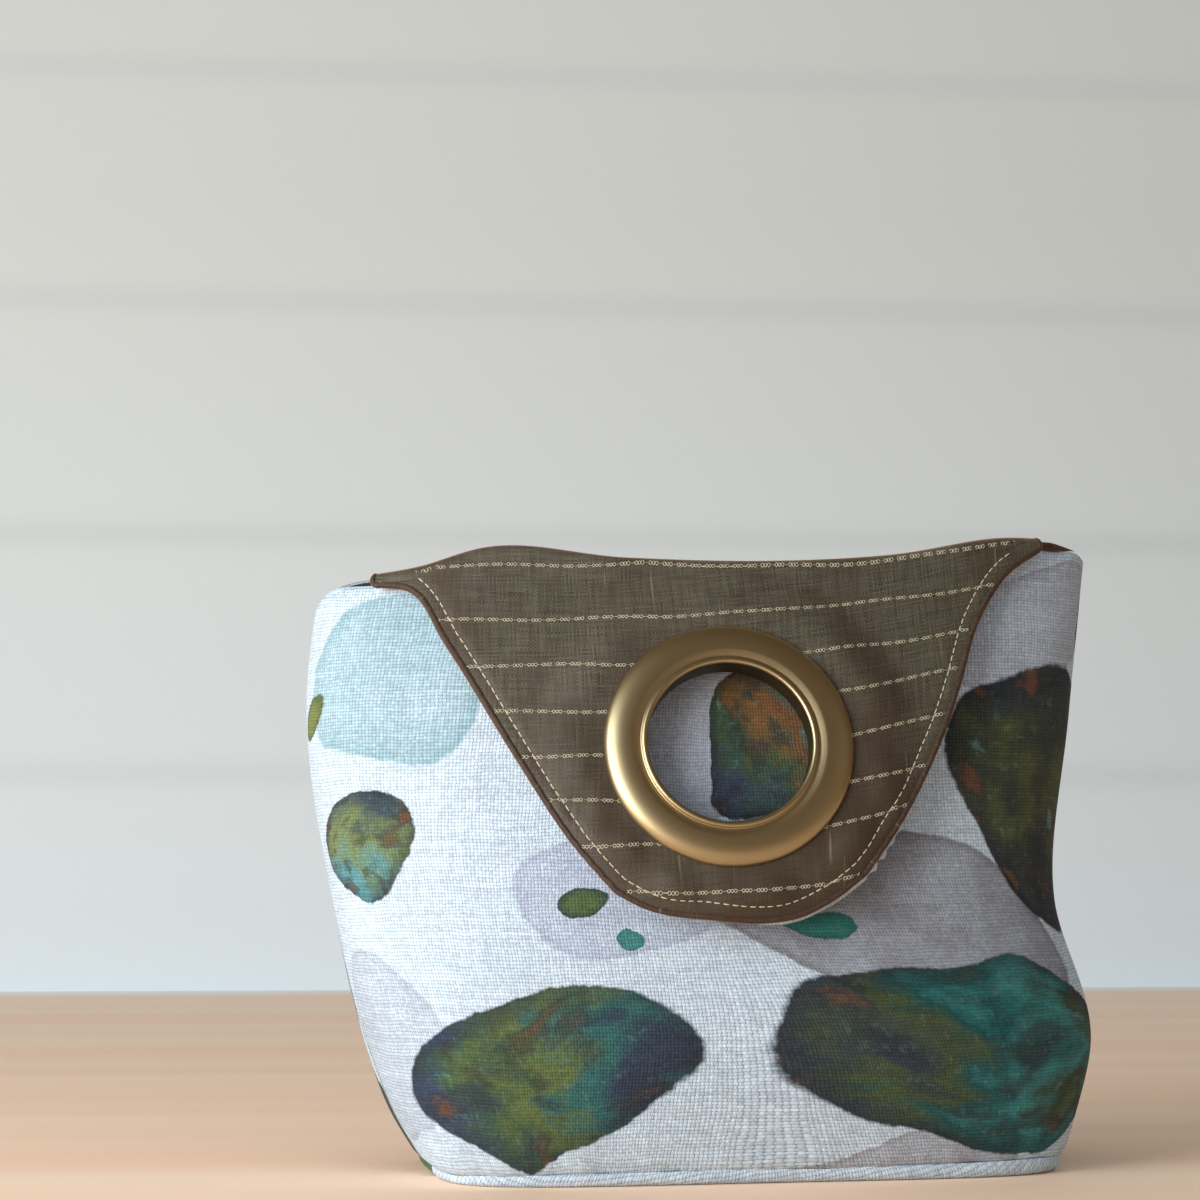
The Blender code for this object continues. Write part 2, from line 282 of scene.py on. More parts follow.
def wallWaves(x, z):   # how far the slack cloth stands in or out
    wave = 0.35 * np.sin(x / mm / 21 + 1.3 + z / mm / 60) * ease((z / mm - 10) / 50)
    wave += 0.20 * np.sin(x / mm / 12.5 - z / mm / 35 + 0.4)
    dents = -1.6 * hump(x, z, 62, 74, 15, 26) - 1.0 * hump(x, z, -82, 75, 9, 45)
    dents += 1.0 * hump(x, z, 5, 38, 50, 22) - 0.7 * hump(x, z, 34, 54, 20, 9)
    crease = -0.35 * np.exp(-((z / mm - 99 - x / mm * 0.03) / 1.3) ** 2) * ease((-x / mm - 30) / 25)
    return (wave + dents + crease) * mm


def seamDip(x, z, foot):   # cloth turns in towards the base seam, with small puckers above it
    above = (z - foot) / mm
    pucker = 0.28 * np.sin(x / mm / 1.75) * np.sin(x / mm / 7.3 + 0.8) * np.exp(-above / 5.0)
    return (-0.8 * np.exp(-(above / 1.2) ** 2) + pucker) * mm


def buildFront():
    shares = panelShares()
    first, last = front["sideColumns"], front["sideColumns"] + front["flapColumns"]
    foot = rimHeight(frontAngle(shares)) + pouch["seamClearance"]
    top = topHeight("frontEdge", shares) - flap["foldRadius"]
    up = np.linspace(0, 1, front["wallRows"] + 1) ** 1.15
    height = foot[:, None] + (top - foot)[:, None] * up[None, :]
    wall = wallPoints(np.broadcast_to(frontAngle(shares)[:, None], height.shape), height)
    outward = gridNormals(wall)
    fade = ease((1 - up) / 0.12)[None, :] * ease(np.minimum(shares, 1 - shares) / 0.06)[:, None]
    push = wallWaves(wall[..., 0], height) * fade + seamDip(wall[..., 0], height, foot[:, None])
    wall = wall + outward * push[..., None]

    columns = shares[first:last + 1]
    start = wall[first:last + 1, -1]
    before, after = (wallPoints(frontAngle(columns + step), start[:, 2]) for step in (-0.01, 0.01))
    side = after - before
    out = unit(np.stack((side[:, 1], -side[:, 0], np.zeros(len(side))), axis=-1))
    turns = np.linspace(0, math.pi, front["foldRows"] + 1)[1:]
    upward = np.array((0, 0, 1.0))
    arc = [start + flap["foldRadius"] * (out * (1 - math.cos(t)) + upward * math.sin(t)) for t in turns]
    return shares, wall, np.stack(arc, axis=1), first, last


shares, wallGrid, foldGrid, firstFlap, lastFlap = buildFront()
foldLine = foldGrid[:, -1]
leftSide = [tuple(foldLine[0, [0, 2]]), *flap["leftEdge"], flap["leftCorner"]]
rightSide = [tuple(foldLine[-1, [0, 2]]), *reversed(flap["rightEdge"]), flap["rightCorner"]]
roundEnd = [flap["leftCorner"], *flap["roundEnd"], flap["rightCorner"]]
edgeShares = np.linspace(0, 1, 60)
outline = np.concatenate((along(leftSide, edgeShares), along(roundEnd, edgeShares)[1:],
                          along(rightSide, edgeShares[::-1])[1:]))


def edgeDistance(x, z):   # distance from the flap's outline, seen from the front
    flat = np.stack(np.broadcast_arrays(x, z), axis=-1)
    gaps = np.linalg.norm(flat[..., None, :] - outline, axis=-1)
    return gaps.min(axis=-1)


def insideOutline(x, z):   # even-odd test against the flap's outline, closed along the fold
    loop = np.concatenate((outline, foldLine[::-1][:, [0, 2]]))
    a, b = loop, np.roll(loop, -1, axis=0)
    spans = (a[:, 1] > z[:, None]) != (b[:, 1] > z[:, None])
    rise = np.where(b[:, 1] == a[:, 1], 1e-9, b[:, 1] - a[:, 1])
    cross = a[:, 0] + (z[:, None] - a[:, 1]) / rise * (b[:, 0] - a[:, 0])
    return (spans & (x[:, None] < cross)).sum(axis=1) % 2 == 1


def flapFolds(x, z):   # soft creases between the clamped ring and the stitched edge, towards the viewer
    acrossRing, upRing = x - ring["x"], (z - ring["z"]) / math.cos(ring["lean"])
    reach, turn = np.hypot(acrossRing, upRing) / mm, np.arctan2(upRing, acrossRing)
    edge = edgeDistance(x, z) / mm
    room = ease((reach - 29.5) / 5) * ease((edge - 1.0) / 3.5)
    lower = ease((0.55 - np.sin(turn)) / 0.9)
    radial = 0.50 * np.sin(11 * turn + 0.9 * np.sin(3 * turn) + reach / 9)
    radial = radial + 0.22 * np.sin(19 * turn + 1.0 - reach / 6)
    slack = 0.45 * np.sin(x / mm / 17 + z / mm / 24) + 0.22 * np.sin(x / mm / 7.5 - z / mm / 31 + 2)
    groove = -0.22 * np.exp(-((edge - 3.15) / 0.6) ** 2) + 0.16 * np.exp(-((edge - 1.5) / 0.9) ** 2)
    return (room * (radial * lower * np.exp(-((reach - 36) / 9) ** 2) + slack) + groove) * mm


def foldHeight(x):
    return np.interp(x, foldLine[:, 0], foldLine[:, 2])


def flapDepth(x, z):
    start = 2 * flap["foldRadius"]
    past = z - foldHeight(x)   # more than 0 on the front of the fold itself
    below = np.maximum(-past, 0)
    drop = ease(below / (pouch["height"] - ring["z"]))
    draped = wallDepth(x, np.minimum(z, foldHeight(x))) - start - (flapLift - start) * drop
    plane = ringDepth + math.tan(ring["lean"]) * (z - ring["z"])
    reach = np.hypot(x - ring["x"], (z - ring["z"]) / math.cos(ring["lean"]))
    flat = 1 - ease((reach - ring["outer"] - ring["flatReach"]) / ring["blendReach"])
    bent = flap["foldRadius"] * (1 - np.sqrt(1 - np.clip(past / flap["foldRadius"], 0, 0.97) ** 2))
    return draped + (plane - draped) * flat - flapFolds(x, z) * ease(below / (5 * mm)) + bent


def flapGrid():
    down = np.linspace(0, 1, front["flapRows"] + 1)[1:]
    over = np.linspace(0, 1, front["flapColumns"] + 1)
    left, right, bottom = along(leftSide, down), along(rightSide, down), along(roundEnd, over)
    corners = [np.array(corner) for corner in (leftSide[0], rightSide[0], leftSide[-1], rightSide[-1])]
    o, d = over[:, None, None], down[None, :, None]
    flat = left[None] * (1 - o) + right[None] * o
    flat = flat + foldLine[:, None, [0, 2]] * (1 - d) + bottom[:, None] * d
    flat = flat - (corners[0] * (1 - o) + corners[1] * o) * (1 - d)
    flat = flat - (corners[2] * (1 - o) + corners[3] * o) * d
    x, z = flat[..., 0], flat[..., 1]
    return np.stack((x, flapDepth(x, z), z), axis=-1)


flapPart = flapGrid()
hook = np.concatenate((foldGrid, flapPart), axis=1)   # fold, then flap, on the flap's columns


def onFlap(x, z, lift):   # points of the flap's front face, and the way out of it there
    step = 0.4 * mm

    def point(dx, dz):
        return np.stack((x + dx, flapDepth(x + dx, z + dz), z + dz), axis=-1)

    normal = unit(np.cross(point(step, 0) - point(-step, 0), point(0, step) - point(0, -step)))
    surface = pouch["layerGap"] / 2 + pouch["lining"]
    return point(0, 0) + normal * (surface + np.asarray(lift)[..., None]), normal


# camera, stage and lights

camera = {
    "place": (-0.08867, -0.66520, 0.07534),
    "pitch": math.radians(5.4),
    "turn": math.radians(4.8),
    "focalPixels": 2700,
    "imagePixels": 1200,
}
stage = {
    "table": "#ecc4a5",
    "tableLight": "#f0d0b4",
    "tableFar": "#e6cfba",
    "wall": "#dde0da",
    "wallLow": "#e7eef0",
    "groove": "#ccd1d1",
    "side": 2.5,
    "near": -1.8,
    "wallBack": 0.87,
    "wallTop": 2.0,
    "blur": 0.07,
    "wallGain": 1.26,
    "tableGain": 1.40,
    "plank": 0.1355,
    "grooveAt": 0.1208,
}
lights = {   # place, size, watts, tint, all aimed at the middle of the pouch
    "window": ((-0.95, -0.62, 0.42), (0.9, 0.8), 12.2, "#f2f9ff"),
    "low_window": ((-0.46, -0.42, 0.10), (0.42, 0.20), 1.1, "#ffffff"),
    "room": ((1.1, -1.0, 0.6), (1.2, 1.0), 0.5, "#ffe4d0"),
}
world = {
    "colour": "#dfe7ee",
    "mirrored": "#a08b74",   # the darker room that the metal shows
    "strength": 0.40,
}


def makeCamera():
    data = bpy.data.cameras.new("camera")
    data.sensor_width = 36
    data.lens = 36 * camera["focalPixels"] / camera["imagePixels"]
    data.clip_start = 0.01
    made = bpy.data.objects.new("camera", data)
    made.location = camera["place"]
    made.rotation_euler = (math.pi / 2 + camera["pitch"], 0, -camera["turn"])
    bpy.context.scene.collection.objects.link(made)
    bpy.context.scene.camera = made


def showBrighter(tree, shader, tone, gain):   # paler to the eye and in the metal, but not on the pouch
    path = addNode(tree, "LightPath", output=None)
    seen = addNode(tree, "Math", path["Is Camera Ray"], path["Is Glossy Ray"], operation="MAXIMUM")
    seen = addNode(tree, "Math", seen, path["Is Transmission Ray"], operation="MAXIMUM")
    factor = addNode(tree, "Mix", {0: seen, 2: 1.0, 3: gain})
    shown = addNode(tree, "VectorMath", {0: tone, 3: factor}, operation="SCALE")
    tree.links.new(shown, shader.inputs["Base Color"])


def makeStage():   # a pale wooden table and a painted board wall, both out of focus in the photo
    # oiled wood: warm and soft, a faint long grain and no clear reflections
    wood, tree, shader = newMaterial("pale wood table, blurred", Roughness=0.7, Specular_IOR_Level=0.2)
    place = addNode(tree, "TexCoord", output="Object")
    depth = addNode(tree, "SeparateXYZ", place, output=1)
    grain = addNode(tree, "VectorMath", place, (0.5, 14.0, 1.0), operation="MULTIPLY")
    grain = addNode(tree, "TexNoise", {"Vector": grain, "Scale": 1.0})
    pale = addNode(tree, "MapRange", grain, 0.35, 0.65, 0.0, 1.0)
    far = addNode(tree, "MapRange", depth, 0.1, 0.75, 0.0, 0.5)
    join = addNode(tree, "MapRange", depth, stage["wallBack"] - stage["blur"], stage["wallBack"], 0.0, 0.75)
    tone = hexColour(stage["table"])
    for share, tint in ((pale, "tableLight"), (far, "tableFar"), (join, "wallLow")):
        tone = addNode(tree, "Mix", {0: share, 6: tone, 7: hexColour(stage[tint])}, **asColour)
    showBrighter(tree, shader, tone, stage["tableGain"])
    side, near, back, top = stage["side"], stage["near"], stage["wallBack"], stage["wallTop"]
    corners = [(-side, near, 0), (side, near, 0), (side, back, 0), (-side, back, 0)]
    meshPiece("table_top", corners, [(0, 1, 2, 3)], None, wood)

    # flat wall paint: dull, paler low down and darker towards the top as a painted falloff of the light,
    # with soft grooves between the boards
    paint, tree, shader = newMaterial("painted board wall, blurred", Roughness=0.9, Specular_IOR_Level=0.1)
    place = addNode(tree, "TexCoord", output="Object")
    height = addNode(tree, "SeparateXYZ", place, output=2)
    turns = addNode(tree, "Math", height, stage["grooveAt"], operation="SUBTRACT")
    turns = addNode(tree, "Math", turns, 2 * math.pi / stage["plank"], operation="MULTIPLY")
    groove = addNode(tree, "Math", turns, operation="COSINE")
    groove = addNode(tree, "Math", groove, 0.5, 0.5, operation="MULTIPLY_ADD")
    groove = addNode(tree, "Math", groove, 26.0, operation="POWER")
    groove = addNode(tree, "Math", groove, addNode(tree, "MapRange", height, 0.05, 0.16, 0.15, 0.35),
                     operation="MULTIPLY")
    # painted falloff of the light: the wall's colour darkens towards the top
    high = addNode(tree, "MapRange", height, 0.0, 0.45, 0.0, 1.0)
    tone = hexColour(stage["wallLow"])
    for share, tint in ((high, "wall"), (groove, "groove")):
        tone = addNode(tree, "Mix", {0: share, 6: tone, 7: hexColour(stage[tint])}, **asColour)
    showBrighter(tree, shader, tone, stage["wallGain"])
    corners = [(-side, back, 0), (side, back, 0), (side, back, top), (-side, back, top)]
    meshPiece("board_wall", corners, [(0, 1, 2, 3)], None, paint)


def makeLights():
    for name, (place, size, watts, tint) in lights.items():
        data = bpy.data.lights.new(name, "AREA")
        data.shape = "RECTANGLE"
        data.size, data.size_y = size
        data.energy = watts
        data.color = hexColour(tint)[:3]
        made = bpy.data.objects.new(name, data)
        made.location = place
        made.rotation_euler = (Vector((0, 0, 0.07)) - Vector(place)).to_track_quat("-Z", "Y").to_euler()
        bpy.context.scene.collection.objects.link(made)
    sky = bpy.data.worlds.new("soft room light")
    bpy.context.scene.world = sky
    sky.use_nodes = True
    tree = sky.node_tree
    mirrored = addNode(tree, "LightPath", output="Is Glossy Ray")
    tone = addNode(tree, "Mix", {0: mirrored, 6: hexColour(world["colour"]),
                                 7: hexColour(world["mirrored"])}, **asColour)
    tree.links.new(tone, tree.nodes["Background"].inputs["Color"])
    tree.nodes["Background"].inputs["Strength"].default_value = world["strength"]


makeCamera()
makeStage()
makeLights()
print("camera, stage and lights set")

# cloth: cotton-linen canvas of slubby yarn with a loose print, and a shot taffeta lining

canvas = {
    "ground": "#dfeefa",
    "gap": "#7ea3c8",
    "yarn": 0.78 * mm,
}
taffeta = {
    "ground": "#6b6554",
    "deep": "#443f32",
    # painted shade and copper sheen: darker, browner colours for the taffeta's rolled edges
    "edgeShadeGround": "#5b4636",
    "edgeShadeDeep": "#3a2c22",
    "copper": "#463528",
    # painted sheen: the copper that the colour turns to where the cloth is seen at a slant
    "paintedSheenCopper": "#b0744a",
    "sheen": "#d09468",
    "slub": "#938872",
    "cream": "#cfc7a8",
    "rib": 0.45 * mm,
    "marks": {   # scale per metre across and along the cloth, and detail
        "patches": ((60, 20, 1), 2.0),
        "streaks": ((1900, 36, 1), 2.0),
        "slubs": ((750, 45, 1), 1.0),
    },
}
printPlan = {   # places and sizes in mm on the cloth, measured from the middle of the panel's foot
    "washes": (   # x, y, width, height, turn, colour, strength
        (-84, 120, 44, 48, 24, "#9cc3cb", 0.80),
        # print, and also painted shadow: this wash is darkened to stand for the flap's soft shadow below
        # its lower right
        (30, 60, 92, 46, -16, "#807a80", 0.85),
        (70, 132, 62, 26, 12, "#a5a0ab", 0.55),
        (-34, 66, 56, 34, 12, "#b4bad2", 0.60),
        (-98, 30, 46, 40, -15, "#b5bcc9", 0.55),
        (14, 2, 70, 18, 4, "#a08f92", 0.60),
        (-14, 104, 34, 46, 10, "#a7a5b2", 0.75),
    ),
    "stones": (   # x, y, width, height, turn, and the colours from one end to the other
        (-56, 25, 74, 36, 8, ("#33415c", "#3f5a3a", "#67742f", "#2c6d66", "#2f3b52")),
        (44, 27, 112, 43, -4, ("#303c44", "#4d5a29", "#0f5a58", "#3f948f", "#3b4526", "#5a6f4a")),
        (76, 92, 50, 68, 9, ("#26272b", "#35392c", "#565c2a", "#3b4229", "#2c3439")),
        (6, 101, 30, 38, -28, ("#39465a", "#3f5b34", "#8a5a24", "#1d7268")),
        (-90, 76, 22, 30, -14, ("#5f9c9f", "#7c8a4a", "#3d4f56")),
        (118, 42, 40, 60, 5, ("#41583f", "#5c6b45", "#7ba092")),
    ),
    "dabs": (   # x, y, width, height, turn, colour, edge colour
        (-44, 62, 15, 9, 25, "#4f6a2b", "#2c3a30"),
        (-30, 54, 8, 6, -10, "#3f8f86", "#2c7a72"),
        (12, 60, 17, 8, -12, "#2f8279", "#1f6a66"),
        (-106, 112, 13, 8, 40, "#7d8438", "#55642f"),
        (40, 140, 19, 11, 12, "#33401f", "#20242a"),
        (96, 134, 12, 20, -8, "#3b3a33", "#26241f"),
        (-14, 132, 20, 12, 30, "#2a2c33", "#20242a"),
    ),
    "marks": ("#2b2d2b", "#6fa5a0", "#86a79c", "#1f2630", "#7d4a22"),   # dark, pale, specks, pooled, rust
    "sway": (26, 0.022, 1.0, 0.5),   # how far edges wander, then scale, detail and roughness of the noise
    "bleed": (2.4, 0.28, 4.0, 0.65),
    "repeatX": 246,
    "repeatY": 176,
    "below": 12,   # of the repeat that lies under the panel's foot
}


def clothCoords(tree):
    uv = addNode(tree, "UVMap", uv_map="cloth")
    parts = addNode(tree, "SeparateXYZ", uv, output=None)
    return uv, parts[0], parts[1]


def plainWeave(tree, uv, u, v, yarn, wobble):   # gives height, 0 to 1, gap between yarns, tone of a yarn
    drift = addNode(tree, "TexNoise", {"Vector": uv, "Scale": 1 / (16 * yarn)}, output=1)
    drift = addNode(tree, "SeparateColor", drift, output=None)
    yarns = []   # warp, then weft
    for direction, shift in ((u, drift[0]), (v, drift[1])):
        count = addNode(tree, "Math", direction, yarn, operation="DIVIDE")
        count = addNode(tree, "Math", shift, wobble, count, operation="MULTIPLY_ADD")
        wave = addNode(tree, "Math", count, math.pi, operation="MULTIPLY")
        wave = addNode(tree, "Math", wave, operation="SINE")
        raised = addNode(tree, "Math", wave, operation="ABSOLUTE")
        low = addNode(tree, "Math", 1.0, raised, operation="SUBTRACT")
        whole = addNode(tree, "Math", count, operation="FLOOR")
        slow = addNode(tree, "Math", count, 0.05, operation="MULTIPLY")
        yarns.append((wave, raised, low, whole, slow))
    (warp, warpUp, warpLow, warpCount, warpSlow), (weft, weftUp, weftLow, weftCount, weftSlow) = yarns
    over = addNode(tree, "Math", warp, weft, operation="MULTIPLY")
    over = addNode(tree, "Math", over, 2.2, 0.5, operation="MULTIPLY_ADD")
    over = addNode(tree, "Clamp", over)
    height = addNode(tree, "Mix", {0: over, 2: weftUp, 3: warpUp})
    gap = addNode(tree, "Math", warpLow, weftLow, operation="MULTIPLY")
    warpTone = addNode(tree, "CombineXYZ", warpCount, weftSlow)
    warpTone = addNode(tree, "TexNoise", {"Vector": warpTone, "Scale": 0.9, "Detail": 1.0})
    weftTone = addNode(tree, "CombineXYZ", warpSlow, weftCount)
    weftTone = addNode(tree, "TexNoise", {"Vector": weftTone, "Scale": 0.9, "Detail": 1.0})
    return height, gap, addNode(tree, "Mix", {0: over, 2: weftTone, 3: warpTone})


def printColours(tree, uv, ground):   # washes, then dabs, then stones, with edges that bleed a little
    place = addNode(tree, "VectorMath", uv, (1 / mm, 1 / mm, 0), operation="MULTIPLY")
    moved = place
    for reach, scale, detail, roughness in (printPlan["sway"], printPlan["bleed"]):
        shift = addNode(tree, "TexNoise", {"Vector": place, "Scale": scale, "Detail": detail,
                                           "Roughness": roughness}, output=1)
        shift = addNode(tree, "VectorMath", shift, (0.5, 0.5, 0.5), operation="SUBTRACT")
        moved = addNode(tree, "VectorMath", shift, (reach, reach, 0), moved, operation="MULTIPLY_ADD")
    half, tall, below = printPlan["repeatX"] / 2, printPlan["repeatY"], printPlan["below"]
    tiled = addNode(tree, "VectorMath", moved, (half, tall - below, 1), (-half, -below, -1),
                    operation="WRAP")
    cloud = addNode(tree, "TexNoise", {"Vector": place, "Scale": 0.05, "Detail": 3.0, "Roughness": 0.6})
    cloud = addNode(tree, "MapRange", cloud, 0.3, 0.7, 0.55, 1.0)
    speck = addNode(tree, "TexNoise", {"Vector": place, "Scale": 0.4, "Detail": 3.0})
    speck = addNode(tree, "MapRange", speck, 0.58, 0.72, 0.0, 0.20)

    def local(x, y, width, height, turn):   # place in the shape, and how far from its middle, 1 at the edge
        inner = addNode(tree, "Mapping", {
            0: tiled, "Location": (x, y, 0), "Rotation": (0, 0, math.radians(turn)),
            "Scale": (width / 2, height / 2, 1)}, vector_type="TEXTURE")
        inner = addNode(tree, "VectorMath", inner, (1, 1, 0), operation="MULTIPLY")
        return inner, addNode(tree, "VectorMath", inner, output=1, operation="LENGTH")

    colour = ground
    for *at, tint, strength in printPlan["washes"]:
        _, reach = local(*at)
        inside = addNode(tree, "MapRange", reach, 0.965, 1.0, strength, 0.0)
        inside = addNode(tree, "Math", inside, cloud, operation="MULTIPLY")
        rim = addNode(tree, "MapRange", reach, 0.86, 0.99, 0.0, 0.25)
        rim = addNode(tree, "Math", rim, addNode(tree, "MapRange", reach, 0.985, 1.0, 1.0, 0.0),
                      operation="MULTIPLY")
        share = addNode(tree, "Math", inside, rim, operation="ADD")
        colour = addNode(tree, "Mix", {0: share, 6: colour, 7: hexColour(tint)}, **asColour)
    for *at, tint, edge in printPlan["dabs"]:
        _, reach = local(*at)
        darker = addNode(tree, "MapRange", reach, 0.55, 0.95, 0.0, 0.9)
        body = addNode(tree, "Mix", {0: darker, 6: hexColour(tint), 7: hexColour(edge)}, **asColour)
        inside = addNode(tree, "MapRange", reach, 0.94, 1.0, 0.95, 0.0)
        colour = addNode(tree, "Mix", {0: inside, 6: colour, 7: body}, **asColour)
    for count, (x, y, width, height, turn, tints) in enumerate(printPlan["stones"]):
        inner, reach = local(x, y, width, height, turn)
        lengthwise = addNode(tree, "SeparateXYZ", inner, output=0 if width >= height else 1)
        stir = addNode(tree, "VectorMath", inner, (3.3 * count, 1.7 * count, 0), operation="ADD")
        stir = addNode(tree, "TexNoise", {"Vector": stir, "Scale": 1.9, "Detail": 5.0})
        flow = addNode(tree, "Math", stir, 1.1, -0.05, operation="MULTIPLY_ADD")
        flow = addNode(tree, "Math", lengthwise, 0.42, flow, operation="MULTIPLY_ADD")
        body = addNode(tree, "ValToRGB", flow)
        colours = body.node.color_ramp.elements
        while len(colours) < len(tints):
            colours.new(0.5)   # moved to its place below
        for k, tint in enumerate(tints):
            colours[k].position = 0.12 + 0.80 * k / (len(tints) - 1)
            colours[k].color = hexColour(tint)
        veil = addNode(tree, "VectorMath", inner, (9.1 + count, 0, 0), operation="ADD")
        veil = addNode(tree, "TexNoise", {"Vector": veil, "Scale": 2.6, "Detail": 3.0})
        dark = addNode(tree, "MapRange", veil, 0.50, 0.60, 0.0, 0.62)
        pale = addNode(tree, "MapRange", veil, 0.34, 0.28, 0.0, 0.60)
        pooled = addNode(tree, "MapRange", reach, 0.70, 0.97, 0.0, 0.85)
        pooled = addNode(tree, "Math", pooled, addNode(tree, "MapRange", stir, 0.35, 0.6, 0.35, 1.0),
                         operation="MULTIPLY")
        rust = addNode(tree, "MapRange", veil, 0.60, 0.68, 0.0, 0.7)
        rust = addNode(tree, "Math", rust, addNode(tree, "MapRange", reach, 0.5, 0.8, 0.0, 1.0),
                       operation="MULTIPLY")
        for share, tint in zip((dark, pale, speck, pooled, rust), printPlan["marks"]):
            body = addNode(tree, "Mix", {0: share, 6: body, 7: hexColour(tint)}, **asColour)
        inside = addNode(tree, "MapRange", reach, 0.97, 1.0, 0.97, 0.0)
        colour = addNode(tree, "Mix", {0: inside, 6: colour, 7: body}, **asColour)
    return colour


def makeCanvas(name, printed=True):   # dull open cloth: light catches each yarn and is lost between them
    material, tree, shader = newMaterial(name, Roughness=0.88, Specular_IOR_Level=0.22, Sheen_Weight=0.06)
    uv, u, v = clothCoords(tree)
    height, gap, tone = plainWeave(tree, uv, u, v, canvas["yarn"], 2.2)
    ground = hexColour(canvas["ground"])
    colour = printColours(tree, uv, ground) if printed else ground[:3]
    slub = addNode(tree, "VectorMath", uv, (45, 900, 1), operation="MULTIPLY")   # thick places along a yarn
    slub = addNode(tree, "TexNoise", {"Vector": slub, "Scale": 1.0})
    cover = addNode(tree, "TexNoise", {"Vector": uv, "Scale": 420.0})   # yarns lie closer in some places
    fleck = addNode(tree, "VectorMath", {0: uv, 3: 1 / canvas["yarn"]}, operation="SCALE")
    fleck = addNode(tree, "VectorMath", fleck, operation="FLOOR")
    fleck = addNode(tree, "TexWhiteNoise", fleck)
    light = addNode(tree, "MapRange", tone, 0.3, 0.7, 0.86, 1.06)
    for part, *span in ((slub, 0.3, 0.7, 0.91, 1.04), (height, 0.25, 0.85, 0.74, 1.03),
                        (fleck, 0.0, 1.0, 0.87, 1.11)):
        light = addNode(tree, "Math", light, addNode(tree, "MapRange", part, *span), operation="MULTIPLY")
    shaded = addNode(tree, "VectorMath", {0: colour, 3: light}, operation="SCALE")
    opened = addNode(tree, "MapRange", gap, 0.25, 0.75, 0.0, 0.95)
    opened = addNode(tree, "Math", opened, addNode(tree, "MapRange", cover, 0.35, 0.65, 0.35, 1.0),
                     operation="MULTIPLY")
    shaded = addNode(tree, "Mix", {0: opened, 6: shaded, 7: hexColour(canvas["gap"])}, **asColour,
                     blend_type="MULTIPLY")
    tree.links.new(shaded, shader.inputs["Base Color"])
    bump = addNode(tree, "Bump", {"Height": height, "Distance": 0.15 * mm, "Strength": 0.8})
    tree.links.new(bump, shader.inputs["Normal"])
    return material


def makeTaffeta(name, ground, deep):   # crisp ribbed cloth: a soft shine that turns coppery seen at a slant
    material, tree, shader = newMaterial(name, Roughness=0.52, Specular_IOR_Level=0.35, Sheen_Weight=0.30,
                                         Sheen_Roughness=0.40, Sheen_Tint=hexColour(taffeta["sheen"]))
    uv, u, v = clothCoords(tree)
    height, gap, tone = plainWeave(tree, uv, u, v, taffeta["rib"], 0.15)
    marks = {}
    for mark, (scale, detail) in taffeta["marks"].items():
        drawn = addNode(tree, "VectorMath", uv, scale, operation="MULTIPLY")
        marks[mark] = addNode(tree, "TexNoise", {"Vector": drawn, "Scale": 1.0, "Detail": detail})
    browner = addNode(tree, "MapRange", v, 0.170, 0.235, -0.04, 0.26)   # towards the flap's end
    copper = addNode(tree, "Math", marks["patches"], browner, operation="ADD")
    copper = addNode(tree, "MapRange", copper, 0.42, 0.75, 0.0, 0.80)
    slub = addNode(tree, "MapRange", marks["slubs"], 0.70, 0.80, 0.0, 0.55)
    lit = addNode(tree, "MapRange", tone, 0.32, 0.68, 0.0, 1.0)
    base = hexColour(deep)
    for share, tint in ((lit, ground), (copper, taffeta["copper"]), (slub, taffeta["slub"])):
        base = addNode(tree, "Mix", {0: share, 6: base, 7: hexColour(tint)}, **asColour)
    # the streaks are the cloth's own tone; the weave height darkens the low parts between the ribs as
    # painted shade
    for part, *span in ((marks["streaks"], 0.3, 0.7, 0.94, 1.06), (height, 0.1, 0.8, 0.62, 1.08)):
        light = addNode(tree, "MapRange", part, *span)
        base = addNode(tree, "VectorMath", {0: base, 3: light}, operation="SCALE")
    # painted sheen: the base colour turns copper where the cloth is seen at a slant
    slant = addNode(tree, "LayerWeight", {"Blend": 0.5}, output="Facing")
    slant = addNode(tree, "MapRange", slant, 0.50, 0.95, 0.0, 0.75)
    base = addNode(tree, "Mix", {0: slant, 6: base, 7: hexColour(taffeta["paintedSheenCopper"])}, **asColour)
    tree.links.new(base, shader.inputs["Base Color"])
    raised = addNode(tree, "Math", marks["streaks"], 0.2, height, operation="MULTIPLY_ADD")
    bump = addNode(tree, "Bump", {"Height": raised, "Distance": 0.06 * mm, "Strength": 0.7})
    tree.links.new(bump, shader.inputs["Normal"])
    return material


canvasMaterial = makeCanvas("printed slub canvas")
hemMaterial = makeCanvas("slub canvas without print", printed=False)
taffetaMaterial = makeTaffeta("shot taffeta, olive and copper yarns", taffeta["ground"], taffeta["deep"])
# a darker, browner copy of the taffeta for the rolled edges: painted shade and painted copper sheen
shadedEdgeTaffeta = makeTaffeta("shot taffeta on the fold, more copper",
                            taffeta["edgeShadeGround"], taffeta["edgeShadeDeep"])
# filament thread: a small soft glint on each stitch, brighter than the cloth round it
threadMaterial, _, _ = newMaterial("cream polyester thread", Base_Color=hexColour(taffeta["cream"]),
                                   Roughness=0.45, Sheen_Weight=0.2)
print("cloth materials made")


# cloth panels

outside = -pouch["layerGap"] / 2 - pouch["canvas"]   # where each layer starts, inwards from the grids
inside = pouch["layerGap"] / 2


def layered(piece, depth, thickness):
    layer = piece.modifiers.new("cloth", "SOLIDIFY")
    layer.thickness = thickness
    layer.offset = -(1 + 2 * depth / thickness)
    layer.use_even_offset = False
    applyModifiers(piece)


